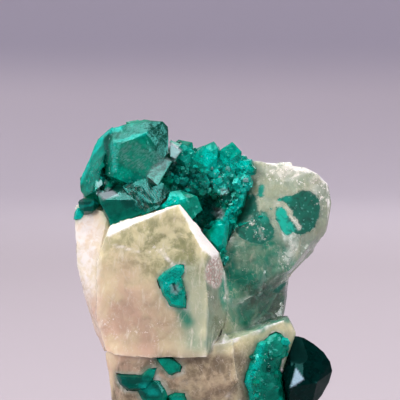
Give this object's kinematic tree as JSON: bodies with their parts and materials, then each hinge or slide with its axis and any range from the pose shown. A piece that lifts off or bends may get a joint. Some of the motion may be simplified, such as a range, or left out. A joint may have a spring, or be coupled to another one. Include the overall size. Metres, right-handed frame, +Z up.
{
  "type": "dioptase mineral specimen",
  "caption": "Emerald-green dioptase crystals and a sparkling druse grown on and inside a group of intergrown, milky calcite crystals, standing on a flat-trimmed base.",
  "frame": {"origin": "on the flat base plane, under the middle of the specimen's outline box", "axes": "+Z up through the tallest dioptase crystal, show side towards -Y, the clear calcite crystal towards +X"},
  "size_m": [0.0398, 0.0304, 0.0528],
  "materials": {
    "calcite": "milky translucent calcite, glassy to frosted cleavage faces",
    "dioptase": "translucent emerald green, glassy faces with growth striations",
    "dioptase_dark": "nearly opaque dark green, glassy"
  },
  "bodies": {
    "root": {"calcite_matrix": "calcite", "dioptase_large_crystals": "dioptase", "dioptase_left_bud": "dioptase", "dioptase_left_sliver": "dioptase", "dioptase_apex_crystal": "dioptase", "dioptase_druse": "dioptase", "dioptase_embedded_right": "dioptase", "dioptase_embedded_middle": "dioptase", "dioptase_embedded_speck": "dioptase", "dioptase_bevel_sliver": "dioptase", "dioptase_front_face_crystal": "dioptase", "dioptase_ledge_crystals": "dioptase", "dioptase_dark_crystal": "dioptase_dark", "dioptase_lower_blade": "dioptase", "dioptase_lower_chip": "dioptase", "dioptase_foot_crystal": "dioptase", "dioptase_back_crystals": "dioptase"}
  },
  "joints": []
}
